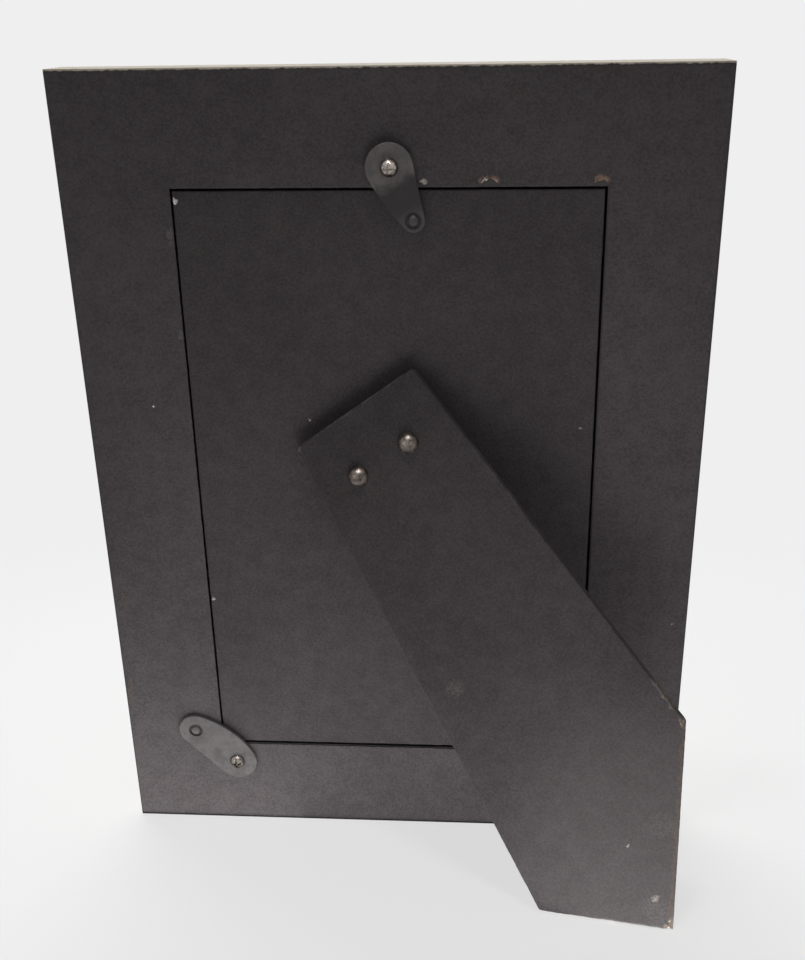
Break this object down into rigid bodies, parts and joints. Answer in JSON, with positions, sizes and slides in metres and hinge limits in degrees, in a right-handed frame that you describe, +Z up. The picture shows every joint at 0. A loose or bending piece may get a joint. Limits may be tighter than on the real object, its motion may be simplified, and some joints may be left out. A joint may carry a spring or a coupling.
{
  "type": "easel back photo frame",
  "caption": "Tabletop photo frame for a small print, with a removable black back panel held by kidney-shaped turn buttons and a slanted folding easel leg.",
  "frame": {"origin": "middle of the footprint's bounding box, on the surface that the frame stands on", "axes": "+Z up, the picture side faces -Y, the back and the open leg are towards +Y, +X is to the right seen from the front; the frame leans back on its open leg"},
  "size_m": [0.158, 0.0668, 0.2108],
  "materials": {
    "cream_lacquer": "cream lacquer over wood moulding, raw behind",
    "nail_steel": "bright strip steel",
    "black_sheet": "matt black embossed paper, worn at the edges",
    "clear_glass": "clear sheet glass",
    "insert_paper": "plain uncoated paper, no print",
    "filler_greyboard": "greyboard",
    "black_hardboard": "hardboard faced in matt black paper, brown cut edges",
    "hinge_steel": "zinc plated, dull",
    "rivet_steel": "blackened steel, rubbed bright at the crown",
    "button_steel": "gunmetal, tarnished",
    "screw_nickel": "bright nickel plate"
  },
  "bodies": {
    "frame": {"rail_bottom": "cream_lacquer", "rail_left": "cream_lacquer", "rail_top": "cream_lacquer", "rail_right": "cream_lacquer", "corner_v_nails": "nail_steel", "rear_liner": "black_sheet", "glass_pane": "clear_glass", "photo_insert": "insert_paper", "filler_card": "filler_greyboard", "back_panel": "black_hardboard", "hinge_panel_leaf": "hinge_steel", "hinge_pin": "hinge_steel", "panel_rivets": "hinge_steel", "button_screw_top": "screw_nickel", "button_screw_corner": "screw_nickel"},
    "leg": {"easel_leg": "black_hardboard", "hinge_leg_leaf": "hinge_steel", "leg_rivets": "rivet_steel"},
    "top_button": {"turn_button_top": "button_steel"},
    "corner_button": {"turn_button_corner": "button_steel"}
  },
  "joints": [
    {"name": "easel_hinge", "type": "hinge", "parent": "frame", "child": "leg", "pos_m": [0.0042, 0.00552, 0.11993], "axis": [-0.8161, 0.1091, 0.5675], "range_deg": [0, 18.4]},
    {"name": "top_button_turn", "type": "hinge", "parent": "frame", "child": "top_button", "pos_m": [-0.0009, 0.01734, 0.18614], "axis": [0, 0.982, -0.1888], "continuous": true},
    {"name": "corner_button_turn", "type": "hinge", "parent": "frame", "child": "corner_button", "pos_m": [0.0478, -0.01446, 0.02077], "axis": [0, 0.982, -0.1888], "continuous": true}
  ]
}
